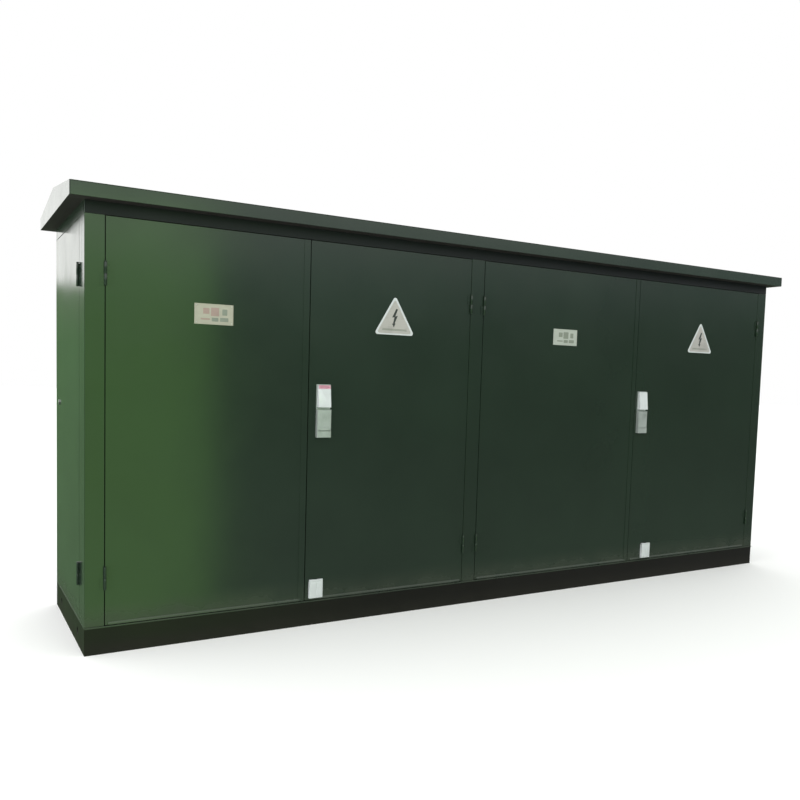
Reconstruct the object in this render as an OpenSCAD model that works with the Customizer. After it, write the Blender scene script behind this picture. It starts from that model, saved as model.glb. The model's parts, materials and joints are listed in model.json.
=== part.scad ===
// Compact pad-mounted transformer station in a sheet-steel kiosk.
// Two double-door bays on the front: the left bay holds the high-voltage switchgear and the
// low-voltage board, the right bay holds the oil-filled transformer.
// Origin: centre of the footprint on the ground. +X along the length, -Y is the door side, +Z up.

/* [Enclosure] */
// Length over the walls
body_l = 5300; // [5200:10:5500]
// Depth over the walls
body_d = 1050; // [1040:10:1100]
// Height of the wall tops above the ground
wall_top = 2310; // [2280:10:2400]
// Height of the base channels
base_h = 140; // [130:10:160]
// Middle of the post between the two bays
mid_post_x = -257; // [-300:1:-200]
// Distance of the right bay's meeting gap from the middle of that bay
right_split = 30; // [0:1:60]

/* [Roof] */
// Overhang of the roof past the walls on every side
eave = 80; // [60:5:120]
// Height of the upright roof edge
fascia_h = 70; // [60:5:100]
// Rise of the ridge above the top of the roof edge
ridge_rise = 72; // [40:2:120]

/* [Doors] */
// Gap between a leaf and its frame
leaf_gap = 4; // [3:0.5:6]
// Gap between the two leaves of a bay
meet_gap = 6; // [5:0.5:8]
// Folded depth of a leaf
leaf_t = 42; // [36:1:44]
// Height of the middle of the lower hinges
hinge_low_z = 398; // [350:1:450]
// Height of the middle of the upper hinges
hinge_high_z = 1955; // [1900:1:2000]
// Distance of the left bay's lock from the meeting gap
lock_offset_left = 95; // [70:1:110]
// Distance of the right bay's lock from the meeting gap
lock_offset_right = 68; // [60:1:110]
// Height of the foot of a lock
lock_z = 1115; // [1050:1:1200]
// Distance of the left bay's foot bolt from the meeting gap
foot_offset_left = 68; // [60:1:120]
// Distance of the right bay's foot bolt from the meeting gap
foot_offset_right = 175; // [120:1:240]

/* [Transformer] */
// Length of the oil tank
tank_l = 1150; // [1140:10:1200]
// Width of the oil tank
tank_w = 460; // [450:5:480]
// Height of the oil tank
tank_h = 900; // [880:10:950]
// Depth of the cooling fins
fin_d = 150; // [100:10:160]
// Middle of the transformer along the length
tank_x = 1150; // [1100:10:1250]

/* [Hidden] */
$fn = 48;

green = "#2c4a30";
black = "#20221f";
steel = "#b9bfbb";
copper = "#b4693a";
grey = "#8d9492";
dark = "#2b2d2e";

// Walls
x_left = -body_l / 2;
x_right = body_l / 2;
y_front = -body_d / 2;
y_rear = body_d / 2;
sheet = 3;             // wall of every folded sheet
post_w = 98;           // corner post along the length
post_d = 75;           // corner post across the depth
stile_d = 155;         // from the front face to the end door, closed by a hinge stile
mid_w = 100;           // front post between the bays
rail_d = 60;           // depth of posts and rails behind the face
sill_t = 8;            // flat bar on top of the base
sill_z = base_h + sill_t;
lintel_h = 64;
lintel_z = wall_top - lintel_h;
leaf_z0 = sill_z + leaf_gap;
leaf_z1 = lintel_z - leaf_gap;
lip_w = 25;            // stop lip behind the edge of a leaf
lip_y = 52;            // depth of the stop lip behind the face
seal_w = 12;
butt_gap = 0.5;        // open gap between two butted members
strip_w = 38;          // cover strip beside a meeting gap

// Bays: [left edge, right edge] of the clear opening
bay_a = [x_left + post_w, mid_post_x - mid_w / 2];
bay_b = [mid_post_x + mid_w / 2, x_right - post_w];
meet_a = (bay_a[0] + bay_a[1]) / 2;
meet_b = (bay_b[0] + bay_b[1]) / 2 + right_split;
// Leaves: [left edge, right edge, hinge side: -1 left or 1 right]
leaf_1 = [bay_a[0] + leaf_gap, meet_a - meet_gap / 2, -1];
leaf_2 = [meet_a + meet_gap / 2, bay_a[1] - leaf_gap, 1];
leaf_3 = [bay_b[0] + leaf_gap, meet_b - meet_gap / 2, -1];
leaf_4 = [meet_b + meet_gap / 2, bay_b[1] - leaf_gap, 1];
end_y0 = y_front + post_d;
end_y1 = y_rear - post_d;
end_door_y = y_front + stile_d;

// Base
channel_w = 58;
web_t = 6;
flange_t = 9;
bolt_x = 2350;         // foundation bolts, from the middle
bolt_in = 34;          // foundation bolts, in from the outer face
bolt_r = 9;
lift_y = 306;
lift_z = 75;
lift_r = 20;
lift_wall = 5;
lift_l = 100;
earth_x = 2450;        // earthing studs, from the middle
boss_r = 14;
cross_w = 50;
cross_x = [meet_a, mid_post_x, tank_x - 400, tank_x + 400];

// Floor wells for cables: [left, right, front, rear]
hv_well = [-2330, -1700, -110, 330];
lv_well = [-1290, -390, -60, 330];

// Hinges
hinge_out = 8;         // axis in front of the face
knuckle_r = 7;
pin_r = 3.5;
knuckle_h = 58;
flag_w = 26;
flag_t = 3;

// Locks
lock_w = 88;
lock_h = 309;
rod_r = 6;
rod_in = 20;           // rod axis behind the face
handle_pin = [-14, 152]; // [from the face, above the lock's foot]
cover_pin = [-11.5, 300];
foot_w = 85;
foot_h = 110;
foot_z = 165;
foot_pin = [-9, 103];

// Transformer
rail_h = 100;
floor_t = 3;
floor_z = base_h + floor_t;
tank_z = floor_z + rail_h;
tank_t = 5;
lid_t = 12;
lid_z = tank_z + tank_h;
fin_t = 12;
fin_pitch = 46;
limb_pitch = 365;
limb_r = 82;
yoke_h = 150;
core_z = tank_z + tank_t;
coil_h = 430;
bushing_x = [-330, 0, 330];
lv_bushing_x = [-420, -260, -100, 60];

// Switchgear
hv_x0 = -2460;
hv_x1 = -1570;
hv_y0 = -330;
hv_y1 = 420;
hv_top = 1650;
knob_r = 20;
fuse_pitch = 220;
lv_x0 = -1330;
lv_x1 = -360;
lv_y = -120;           // front face of the low-voltage mounting plates
hv_gas_z = 1380;       // top of the gas tank
cable_r = 19;
bend_r = 150;
cable_y = 110;
cable_z = 1790;        // lowest of the three cable runs
bushing_top = lid_z + lid_t + 290;
window = [-110, 340, 1420, 1960]; // front, rear, foot and top of the windows in the partitions
function cable_x(k) = -1905 - k * fuse_pitch;

// A box from its low corner to its high corner
module span(lo, hi) {
    translate(lo) cube(hi - lo);
}

// A rectangular tube along X, Y or Z with open ends
module box_tube(lo, hi, axis) {
    t = [axis == 0 ? -1 : sheet, axis == 1 ? -1 : sheet, axis == 2 ? -1 : sheet];
    difference() {
        span(lo, hi);
        span(lo + t, hi - t);
    }
}

// A channel lying along X with its web at y = 0 and open mitres at its ends
module mitred_channel(len, holes) {
    g = butt_gap;
    difference() {
        intersection() {
            union() {
                span([0, 0, 0], [len, web_t, base_h]);
                span([0, 0, 0], [len, channel_w, flange_t]);
                span([0, 0, base_h - flange_t], [len, channel_w, base_h]);
            }
            linear_extrude(base_h)
                polygon([[g, 0], [len - g, 0], [len - channel_w - g, channel_w], [channel_w + g, channel_w]]);
        }
        for (p = holes)
            translate([p, bolt_in, -1]) cylinder(r = bolt_r, h = flange_t + 2);
    }
}

// Pipe sleeves for lifting bars, let into the end webs
module lifting_tubes()
    for (turn = [0, 180], side = [-1, 1])
        rotate([0, 0, turn]) translate([x_left, side * lift_y, lift_z]) rotate([0, 90, 0])
            difference() {
                cylinder(r = lift_r + lift_wall, h = lift_l);
                translate([0, 0, -1]) cylinder(r = lift_r, h = lift_l + 2);
            }

// A turned piece at each earthing point, from the inside of the rear web outwards
module at_earth_points()
    for (side = [-1, 1])
        translate([side * earth_x, y_rear, base_h / 2]) rotate([-90, 0, 0]) children();

module base_channels() color(black) {
    long_holes = [body_l / 2 - bolt_x, body_l / 2 + bolt_x];
    translate([x_left, y_front, 0]) mitred_channel(body_l, long_holes);
    difference() {
        rotate([0, 0, 180]) translate([x_left, y_front, 0]) mitred_channel(body_l, long_holes);
        at_earth_points() translate([0, 0, -web_t - 1]) cylinder(r = boss_r + butt_gap, h = web_t + 2);
    }
    at_earth_points() {
        translate([0, 0, -web_t]) cylinder(r = boss_r, h = web_t + 8);
        translate([0, 0, 8]) cylinder(r = 6, h = 28);
    }
    for (turn = [0, 180])
        rotate([0, 0, turn])
            difference() {
                translate([x_left, y_rear, 0]) rotate([0, 0, -90]) mitred_channel(body_d, []);
                for (side = [-1, 1])
                    translate([x_left - 1, side * lift_y, lift_z]) rotate([0, 90, 0])
                        cylinder(r = lift_r + lift_wall + butt_gap, h = web_t + 2);
            }
    lifting_tubes();
    y0 = y_front + channel_w + butt_gap;
    y1 = y_rear - channel_w - butt_gap;
    for (x = cross_x)
        difference() {
            span([x - cross_w / 2, y0, 0], [x + cross_w / 2, y1, base_h]);
            span([x - cross_w / 2 + web_t, y0 - 1, flange_t], [x + cross_w, y1 + 1, base_h - flange_t]);
        }
}

// Floor of one stretch with a rectangular well in it
module well_floor(x0, x1, w) {
    y0 = y_front + rail_d;
    y1 = y_rear - rail_d;
    span([x0, y0, base_h], [w[0], y1, floor_z]);
    span([w[1], y0, base_h], [x1, y1, floor_z]);
    span([w[0], y0, base_h], [w[1], w[2], floor_z]);
    span([w[0], w[3], base_h], [w[1], y1, floor_z]);
}

module floor_plates() color(grey) {
    well_floor(x_left + rail_d, meet_a - 1, hv_well);
    well_floor(meet_a + 1, mid_post_x - 1, lv_well);
    for (x = [[mid_post_x + 1, tank_x - 1], [tank_x + 1, x_right - rail_d]])
        span([x[0], y_front + rail_d, base_h], [x[1], y_rear - rail_d, floor_z]);
}

// Corner posts, bay posts, the end door's hinge stile, the end rails and the headers' caps
module wall_posts() color(green) {
    z = lintel_z - butt_gap;
    for (x = [x_left, x_right - post_w], y = [y_front, y_rear - post_d])
        box_tube([x, y, sill_z], [x + post_w, y + post_d, z], 2);
    for (y = [y_front, y_rear - rail_d])
        box_tube([mid_post_x - mid_w / 2, y, sill_z], [mid_post_x + mid_w / 2, y + rail_d, z], 2);
    box_tube([x_left, end_y0 + butt_gap, sill_z], [x_left + rail_d, end_door_y, z], 2);
    y = y_rear - rail_d - butt_gap;
    for (x = [x_left, x_right - rail_d])
        box_tube([x, -y, lintel_z], [x + rail_d, y, wall_top], 1);
    for (x = [x_left, x_right - sheet], y = [y_front, y_rear - rail_d])
        span([x, y, lintel_z], [x + sheet, y + rail_d, wall_top]);
}

// Headers along the front and the rear, over the posts and the openings
module wall_rails() color(green) {
    x = x_right - sheet - butt_gap;
    for (y = [y_front, y_rear - rail_d])
        box_tube([-x, y, lintel_z], [x, y + rail_d, wall_top], 0);
}

// Flat bars welded round the top of the base
module sill_frame() color(green) {
    span([x_left, y_front - 6, base_h], [x_right, y_front + rail_d, sill_z]);
    span([x_left, y_rear - rail_d, base_h], [x_right, y_rear, sill_z]);
    for (x = [x_left, x_right - rail_d])
        span([x, y_front + rail_d + butt_gap, base_h], [x + rail_d, y_rear - rail_d - butt_gap, sill_z]);
}

// Four strips round the inside edge of an opening that faces -Y
module strips(x0, x1, inset, w, y0, y1) {
    z0 = sill_z + inset;
    z1 = lintel_z - inset;
    for (x = [x0 + inset, x1 - inset - w])
        span([x, y0, z0], [x + w, y1, z1]);
    for (z = [z0, z1 - w])
        span([x0 + inset + w + butt_gap, y0, z], [x1 - inset - w - butt_gap, y1, z + w]);
}

// The same strips round the three openings: two bays and the left end
module edge_strips(inset, w, from, to) {
    for (b = [bay_a, bay_b])
        strips(b[0], b[1], inset, w, y_front + from, y_front + to);
    translate([x_left - y_front, 0, 0]) rotate([0, 0, -90])
        strips(-end_y1, -end_door_y, inset, w, y_front + from, y_front + to);
}

module stop_lips() color(green) edge_strips(0, lip_w, lip_y, lip_y + sheet);

module door_seals() color(dark) edge_strips(8, seal_w, leaf_t + 0.5, lip_y);

// A folded pan facing -Y between x0 and x1: skin, four returns and inward lips
module pan(x0, x1, z0, z1, depth) {
    difference() {
        span([x0, y_front, z0], [x1, y_front + depth, z1]);
        span([x0 + sheet, y_front + sheet, z0 + sheet], [x1 - sheet, y_front + depth - sheet, z1 - sheet]);
        span([x0 + 20, y_front + sheet, z0 + 20], [x1 - 20, y_front + depth + 1, z1 - 20]);
    }
}

// One row of pressed louvres standing out of a skin that faces -Y
module louvre_hoods(x0, x1, z0, rows, pitch) {
    for (i = [0:rows - 1])
        translate([x0, y_front, z0 + i * pitch]) rotate([90, 0, 90])
            linear_extrude(x1 - x0) polygon([[0.01, 0], [-14, 4], [-14, 6], [0.01, 30]]);
}

module louvre_slots(x0, x1, z0, rows, pitch) {
    for (i = [0:rows - 1])
        translate([x0 + 2, y_front, z0 + i * pitch]) rotate([90, 0, 90])
            linear_extrude(x1 - x0 - 4) polygon([[-12, 2], [-12, 6.5], [sheet + 1, 24], [sheet + 1, 2]]);
}

// A bolted wall pan, louvred low and high where vents is true
module wall_pan(x0, x1, z0, z1, vents) {
    banks = vents ? [z0 + 160, z1 - 460] : [];
    m = 120;
    difference() {
        union() {
            difference() {
                span([x0, y_front, z0], [x1, y_front + 25, z1]);
                span([x0 + sheet, y_front + sheet, z0 + sheet], [x1 - sheet, y_front + 26, z1 - sheet]);
            }
            for (b = banks) louvre_hoods(x0 + m, x1 - m, b, 8, 38);
        }
        for (b = banks) louvre_slots(x0 + m, x1 - m, b, 8, 38);
    }
}

module rear_panels() color(green) rotate([0, 0, 180]) {
    // Seen from behind, so the spans run from the right end to the left
    m = -mid_post_x;
    w = mid_w / 2;
    tx = [-x_right + post_w + leaf_gap, m - w - leaf_gap];
    sw = [m + w + leaf_gap, -x_left - post_w - leaf_gap];
    for (s = [tx, sw]) {
        c = (s[0] + s[1]) / 2;
        wall_pan(s[0], c - 1, leaf_z0, leaf_z1, s == tx);
        wall_pan(c + 1, s[1], leaf_z0, leaf_z1, s == tx);
    }
}

module right_end_panel() color(green)
    translate([x_right + y_front, 0, 0]) rotate([0, 0, 90])
        wall_pan(end_y0 + leaf_gap, end_y1 - leaf_gap, leaf_z0, leaf_z1, true);

// Cross-headed cap screws round the bolted rear pans and the right end pan
module panel_bolts() color(steel) {
    span_z = leaf_z1 - leaf_z0 - 60;
    for (i = [0:4], x = [bay_b[1] - 16, meet_b + 16, meet_b - 16, bay_b[0] + 16,
            bay_a[1] - 16, meet_a + 16, meet_a - 16, bay_a[0] + 16])
        translate([x, y_rear, leaf_z0 + 30 + i * span_z / 4]) rotate([-90, 0, 0])
            cylinder(r = 7, h = 5);
    for (i = [0:4], y = [end_y0 + 20, end_y1 - 20])
        translate([x_right, y, leaf_z0 + 30 + i * span_z / 4]) rotate([0, 90, 0])
            cylinder(r = 7, h = 5);
}

// Two cross walls, each with a window for the cables and bars
module partitions() color(grey) {
    y = [y_front + rail_d + 6, window[0], window[1], y_rear - rail_d - 6];
    z = [floor_z, window[2], window[3], wall_top - 70];
    for (x = [meet_a, mid_post_x]) {
        span([x - 1, y[0], z[0]], [x + 1, y[3], z[1]]);
        span([x - 1, y[0], z[2]], [x + 1, y[3], z[3]]);
        span([x - 1, y[0], z[1]], [x + 1, y[1], z[2]]);
        span([x - 1, y[2], z[1]], [x + 1, y[3], z[2]]);
    }
}

// A profile in Y and Z drawn from x0 to x1
module along_x(x0, x1, points)
    translate([x0, 0, 0]) rotate([90, 0, 90]) linear_extrude(x1 - x0) polygon(points);

// Folded roof: two slopes, upright edges, soffits that lap over the walls, and two gable plates
module roof_cover() color(green) {
    x = body_l / 2 + eave;
    y = body_d / 2 + eave;
    z = wall_top;
    foot = z + fascia_h;
    ridge = foot + ridge_rise;
    in_x = x - sheet - butt_gap;
    lap = 10;
    for (turn = [0, 180]) rotate([0, 0, turn]) {
        along_x(-in_x, in_x, [[-y, foot], [-butt_gap, ridge], [-butt_gap, ridge - sheet], [-y, foot - sheet]]);
        span([-in_x, -y, z], [in_x, -y + sheet, foot - sheet - butt_gap]);
        span([-in_x, -y + sheet + butt_gap, z], [in_x, y_front + lap, z + sheet]);
        along_x(-x, -x + sheet, [[-y, z], [-y, foot], [0, ridge], [y, foot], [y, z]]);
        span([-in_x, y_front + lap + butt_gap, z], [x_left + lap, y_rear - lap - butt_gap, z + sheet]);
    }
}

// Trusses and purlins under the roof sheet
module roof_frame() color(grey) {
    z = wall_top + sheet + 1;
    for (x = [x_left + 60, meet_a, mid_post_x, meet_b, x_right - 60])
        translate([x - 15, 0, 0]) rotate([90, 0, 90]) linear_extrude(30) polygon([
            [y_front - 40, z], [y_front - 40, z + fascia_h - 16], [0, z + fascia_h + ridge_rise - 16],
            [y_rear + 40, z + fascia_h - 16], [y_rear + 40, z]]);
}

// Half a barrel hinge with its flag, axis at the origin along Z
module knuckle(z0, z1, side, bore) {
    translate([0, 0, z0]) difference() {
        union() {
            cylinder(r = knuckle_r, h = z1 - z0);
            span([min(0, side * flag_w), hinge_out - flag_t, 0],
                [max(0, side * flag_w), hinge_out, z1 - z0]);
            span([min(0, side * 5), 0, 0], [max(0, side * 5), hinge_out - flag_t, z1 - z0]);
        }
        if (bore > 0) translate([0, 0, -1]) cylinder(r = bore, h = z1 - z0 + 2);
        if (side > 0) span([-9, hinge_out - flag_t, -1], [2, hinge_out + 1, z1 - z0 + 1]);
        else span([-2, hinge_out - flag_t, -1], [9, hinge_out + 1, z1 - z0 + 1]);
    }
}

module hinge_fixed(z, side) {
    knuckle(z - knuckle_h - 1, z - 1, side, 0);
    translate([0, 0, z - 1]) cylinder(r = pin_r, h = knuckle_h + 4);
    translate([0, 0, z + knuckle_h + 2]) cylinder(r = knuckle_r, h = 4);
}

module hinge_moving(z, side) {
    knuckle(z, z + knuckle_h, side, pin_r + 0.06);
}

// Hinge axis of a front leaf
function hinge_x(leaf) = leaf[2] < 0 ? leaf[0] - leaf_gap / 2 : leaf[1] + leaf_gap / 2;

module frame_hinges() color(green) {
    for (leaf = [leaf_1, leaf_2, leaf_3, leaf_4], z = [hinge_low_z, hinge_high_z])
        translate([hinge_x(leaf), y_front - hinge_out, 0]) hinge_fixed(z, leaf[2]);
    for (z = [hinge_low_z, hinge_high_z])
        translate([x_left - hinge_out, end_door_y + leaf_gap / 2, 0]) rotate([0, 0, -90])
            hinge_fixed(z, 1);
}

// Inner hat stiffeners of a leaf
module stiffeners(x0, x1, z0, z1) {
    for (s = [0.3, 0.7])
        span([x0 + s * (x1 - x0) - 25, y_front + sheet, z0 + 30],
            [x0 + s * (x1 - x0) + 25, y_front + sheet + 22, z1 - 30]);
}

module leaf_body(leaf) {
    difference() {
        union() {
            pan(leaf[0], leaf[1], leaf_z0, leaf_z1, leaf_t);
            stiffeners(leaf[0], leaf[1], leaf_z0, leaf_z1);
            if (leaf[2] < 0)
                span([leaf[1] - strip_w, y_front - 2.5, leaf_z0], [leaf[1], y_front, leaf_z1]);
        }
        if (leaf[2] > 0) {
            x = lock_x(leaf);
            span([x - 20, y_front - 1, lock_z + 115], [x + 20, y_front + sheet + 1, lock_z + 185]);
            for (z = [leaf_z0 - 1, leaf_z1 - sheet - 1])
                translate([x, y_front + rod_in, z]) cylinder(r = rod_r + 0.6, h = sheet + 2);
        }
    }
}

module door_leaf(leaf) color(green) {
    leaf_body(leaf);
    for (z = [hinge_low_z, hinge_high_z])
        translate([hinge_x(leaf), y_front - hinge_out, 0]) hinge_moving(z, -leaf[2]);
}

module name_plate(leaf) color(steel)
    translate([(leaf[0] + leaf[1]) / 2, y_front, 1787]) rotate([90, 0, 0])
        linear_extrude(1.5) square([214, 110], center = true);

module warning_sign(leaf) color(steel)
    translate([(leaf[0] + leaf[1]) / 2, y_front, 1734]) rotate([90, 0, 0])
        linear_extrude(2) hull()
            for (p = [[-117, 14], [117, 14], [0, 209]]) translate(p) circle(r = 14, $fn = 32);

module end_door_leaf() color(green) {
    translate([x_left - y_front, 0, 0]) rotate([0, 0, -90]) {
        y0 = -end_y1 + leaf_gap;
        y1 = -end_door_y - leaf_gap;
        difference() {
            union() {
                pan(y0, y1, leaf_z0, leaf_z1, leaf_t);
                stiffeners(y0, y1, leaf_z0, leaf_z1);
            }
            translate([y0 + 50, y_front - 1, 1270]) rotate([-90, 0, 0]) cylinder(r = 11.36, h = 10);
        }
    }
    for (z = [hinge_low_z, hinge_high_z])
        translate([x_left - hinge_out, end_door_y + leaf_gap / 2, 0]) rotate([0, 0, -90])
            hinge_moving(z, -1);
}

// Quarter-turn latch of the end door: head outside, cam behind the stop lip when turned
module end_door_latch() color(steel)
    translate([x_left, end_y1 - leaf_gap - 50, 1270]) rotate([0, 90, 0]) {
        translate([0, 0, -6]) cylinder(r = 15, h = 5.7);
        translate([0, 0, -1]) cylinder(r = 11.3, h = lip_y + 10);
        translate([0, 0, lip_y + 6]) hull() {
            cylinder(r = 11, h = 4);
            translate([-26, 0, 0]) cylinder(r = 8, h = 4);
        }
    }

function lock_x(leaf) = leaf == leaf_2 ? meet_a + lock_offset_left : meet_b + lock_offset_right;

// Lock housing on the face, with its gear case and rod guides behind the skin
module lock_body(leaf) color(steel) {
    x = lock_x(leaf);
    translate([x, y_front, lock_z]) {
        difference() {
            union() {
                span([-lock_w / 2, -4, 0], [lock_w / 2, 0, lock_h]);
                span([-lock_w / 2, -24, 0], [lock_w / 2, -4, 37]);
                for (s = [-1, 1])
                    span([s > 0 ? lock_w / 2 - 3 : -lock_w / 2, -22, 37],
                        [s > 0 ? lock_w / 2 : -lock_w / 2 + 3, -4, 163]);
                span([-15, 0, 120], [15, 8, 180]);
                span([-30, 8, 100], [30, 34, 200]);
                span([-8, -13.5, 296], [8, -4, 303]);
                translate([0, -4, 235]) rotate([90, 0, 0]) cylinder(r = 11, h = 12);
            }
            translate([0, rod_in, 99]) cylinder(r = rod_r + 0.06, h = 102);
        }
        translate([-lock_w / 2 + 3, handle_pin[0], handle_pin[1]]) rotate([0, 90, 0])
            cylinder(r = 3, h = lock_w - 6);
        for (s = [-1, 1])
            translate([s > 0 ? 8 : -38.5, cover_pin[0], cover_pin[1]]) rotate([0, 90, 0])
                cylinder(r = 2.5, h = 30.5);
    }
    for (z = [leaf_z0 + 120, lock_z - 330, lock_z + 560, leaf_z1 - 140])
        difference() {
            span([x - 16, y_front + sheet, z], [x + 16, y_front + rod_in + 11, z + 24]);
            translate([x, y_front + rod_in, z - 1]) cylinder(r = rod_r + 0.06, h = 26);
        }
}

// Rain cover over the key barrel, sloping out towards its foot
module lock_cover(leaf) color(steel)
    translate([lock_x(leaf), y_front, lock_z]) difference() {
        translate([-39, 0, 0]) rotate([90, 0, 90]) linear_extrude(78)
            polygon([[-5, 176], [-31, 176], [-18, 305], [-12, 306], [-6, 297]]);
        translate([-36.5, 0, 0]) rotate([90, 0, 90]) linear_extrude(73)
            polygon([[-3, 178.5], [-28.4, 178.5], [-16, 302.5], [-4, 303]]);
        span([-9.5, -15, 290], [9.5, -2, 310]);
        translate([-50, cover_pin[0], cover_pin[1]]) rotate([0, 90, 0])
            cylinder(r = 2.56, h = 100);
    }

// Paddle handle that lifts outward about its pin
module lock_handle(leaf) color(steel)
    translate([lock_x(leaf), y_front, lock_z]) difference() {
        span([-40.4, -23, 41], [40.4, -9, 160]);
        span([-37.5, -19, 44], [37.5, -8, 140]);
        translate([-50, handle_pin[0], handle_pin[1]]) rotate([0, 90, 0])
            cylinder(r = 3.06, h = 100);
        span([-30, -24, 60], [30, -21.5, 63]);
    }

module lock_top_rod(leaf) color(steel)
    translate([lock_x(leaf), y_front + rod_in, lock_z + 175])
        cylinder(r = rod_r, h = leaf_z1 + 1 - lock_z - 175);

module lock_foot_rod(leaf) color(steel)
    translate([lock_x(leaf), y_front + rod_in, leaf_z0 - 1])
        cylinder(r = rod_r, h = lock_z + 125 - leaf_z0 + 1);

// Surface bolt at the foot of a leaf: back plate, barrel and hinge pin
module foot_bolt(x) color(steel)
    translate([x, y_front, foot_z]) {
        span([-36, -3, 2], [36, 0, 96]);
        translate([0, -9, 8]) cylinder(r = 6, h = 70);
        span([-6, -9, 8], [6, -3, 78]);
        span([-9, -12.5, 96], [9, 0, 106]);
        for (s = [-1, 1])
            translate([s > 0 ? 9 : -42, foot_pin[0], foot_pin[1]]) rotate([0, 90, 0])
                cylinder(r = 2.5, h = 33);
    }

module foot_cover(x) color(steel)
    translate([x, y_front, foot_z]) difference() {
        translate([-foot_w / 2, 0, 0]) rotate([90, 0, 90]) linear_extrude(foot_w)
            polygon([[-1, 0], [-18, 0], [-18, foot_h - 2], [-14, foot_h], [-6, foot_h], [-3, foot_h - 9],
                [-1, foot_h - 12]]);
        translate([-foot_w / 2 + 2, 0, 0]) rotate([90, 0, 90]) linear_extrude(foot_w - 4)
            polygon([[1, -1], [-16, -1], [-16, foot_h - 3], [-5, foot_h - 2.5], [1, foot_h - 9]]);
        span([-10.5, -13, 90], [10.5, 2, foot_h + 2]);
        translate([-50, foot_pin[0], foot_pin[1]]) rotate([0, 90, 0]) cylinder(r = 2.56, h = 100);
    }

// Oil tank, closed by the bolted lid
module tx_tank() color(grey) translate([tank_x, 0, 0]) difference() {
    span([-tank_l / 2, -tank_w / 2, tank_z], [tank_l / 2, tank_w / 2, lid_z]);
    span([-tank_l / 2 + tank_t, -tank_w / 2 + tank_t, tank_z + tank_t],
        [tank_l / 2 - tank_t, tank_w / 2 - tank_t, lid_z + 1]);
}

// Corrugated cooling walls, one comb of fins on each long side
module tx_fins() color(grey)
    for (turn = [0, 180]) translate([tank_x, 0, 0]) rotate([0, 0, turn]) {
        n = floor((tank_l - 60) / fin_pitch);
        span([-tank_l / 2 + 10, -tank_w / 2 - 4, tank_z + 60], [tank_l / 2 - 10, -tank_w / 2, lid_z - 60]);
        for (i = [0:n - 1])
            translate([(i - (n - 1) / 2) * fin_pitch - fin_t / 2, 0, 0])
                span([0, -tank_w / 2 - fin_d, tank_z + 80], [fin_t, -tank_w / 2 - 3, lid_z - 80]);
    }

module tx_lid() color(grey) translate([tank_x, 0, lid_z]) {
    difference() {
        span([-tank_l / 2 - 40, -tank_w / 2 - 40, 0], [tank_l / 2 + 40, tank_w / 2 + 40, lid_t]);
        for (x = bushing_x) translate([x, 110, -1]) cylinder(r = 34, h = lid_t + 2);
        for (x = lv_bushing_x) translate([x, -120, -1]) cylinder(r = 26, h = lid_t + 2);
    }
    for (x = [-tank_l / 2 + 60, tank_l / 2 - 60])
        difference() {
            span([x - 8, -35, lid_t], [x + 8, 35, lid_t + 80]);
            translate([x - 10, 0, lid_t + 48]) rotate([0, 90, 0]) cylinder(r = 16, h = 20);
        }
}

// Laminated three-limb core
module tx_core() color(dark) translate([tank_x, 0, core_z]) {
    for (z = [0, yoke_h + coil_h + 40])
        span([-limb_pitch - 82, -75, z], [limb_pitch + 82, 75, z + yoke_h]);
    for (i = [-1:1])
        translate([i * limb_pitch, 0, yoke_h]) cylinder(r = limb_r, h = coil_h + 40);
}

// Low-voltage and high-voltage windings round each limb
module tx_windings() color(copper)
    for (i = [-1:1], r = [[limb_r + 8, limb_r + 34], [limb_r + 48, limb_r + 92]])
        translate([tank_x + i * limb_pitch, 0, core_z + yoke_h + 20]) difference() {
            cylinder(r = r[1], h = coil_h);
            translate([0, 0, -1]) cylinder(r = r[0], h = coil_h + 2);
        }

// Shedded porcelain bushings with a terminal stud
module tx_hv_bushings() color("#6b3a22")
    for (x = bushing_x) translate([tank_x + x, 110, lid_z + lid_t])
        rotate_extrude() polygon(concat(
            [[0, -60], [24, -60], [24, 0], [48, 0], [48, 14]],
            [for (i = [0:5]) each [[26, 24 + i * 34], [46, 34 + i * 34], [46, 38 + i * 34], [26, 44 + i * 34]]],
            [[24, 240], [10, 246], [10, 290], [0, 290]]));

module tx_lv_bushings() color(steel)
    for (x = lv_bushing_x) translate([tank_x + x, -120, lid_z + lid_t]) {
        rotate_extrude() polygon([[0, -50], [18, -50], [18, 0], [38, 0], [38, 12], [26, 20], [32, 40],
            [26, 48], [32, 68], [24, 76], [12, 80], [12, 100], [0, 100]]);
        span([-6, -40, 100], [6, 40, 180]);
    }

// Off-load tap switch
module tx_tap_knob() color(dark) translate([tank_x + 500, -150, lid_z + lid_t + 12.4]) {
    cylinder(r = 30, h = 24);
    translate([0, 0, 24]) rotate([0, 0, 45]) span([-34, -7, 0], [34, 7, 16]);
}

// Carrying rails, tap socket, relief valve, oil gauge, drain valve and lid bolts
module tx_fittings() color(dark) {
    for (x = [-330, 330])
        span([tank_x + x - 40, -tank_w / 2 - 80, floor_z], [tank_x + x + 40, tank_w / 2 + 80, tank_z]);
    translate([tank_x, 0, lid_z + lid_t]) {
        translate([500, -150, 0]) cylinder(r = 42, h = 12);
        translate([440, 60, 0]) {
            cylinder(r = 36, h = 20);
            translate([0, 0, 20]) cylinder(r = 28, h = 60);
        }
        translate([-510, 100, 0]) {
            cylinder(r = 24, h = 110);
            translate([0, 0, 110]) cylinder(r = 34, h = 24);
        }
        for (i = [0:9], s = [-1, 1])
            translate([-tank_l / 2 + 20 + i * (tank_l - 40) / 9, s * (tank_w / 2 + 22), 0])
                cylinder(r = 11, h = 9, $fn = 6);
    }
    translate([tank_x - tank_l / 2, 0, tank_z + 60]) rotate([0, -90, 0]) {
        cylinder(r = 30, h = 14);
        translate([0, 0, 14]) cylinder(r = 16, h = 60);
        translate([0, 0, 50]) rotate([0, 90, 0]) cylinder(r = 10, h = 60);
    }
}

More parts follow.
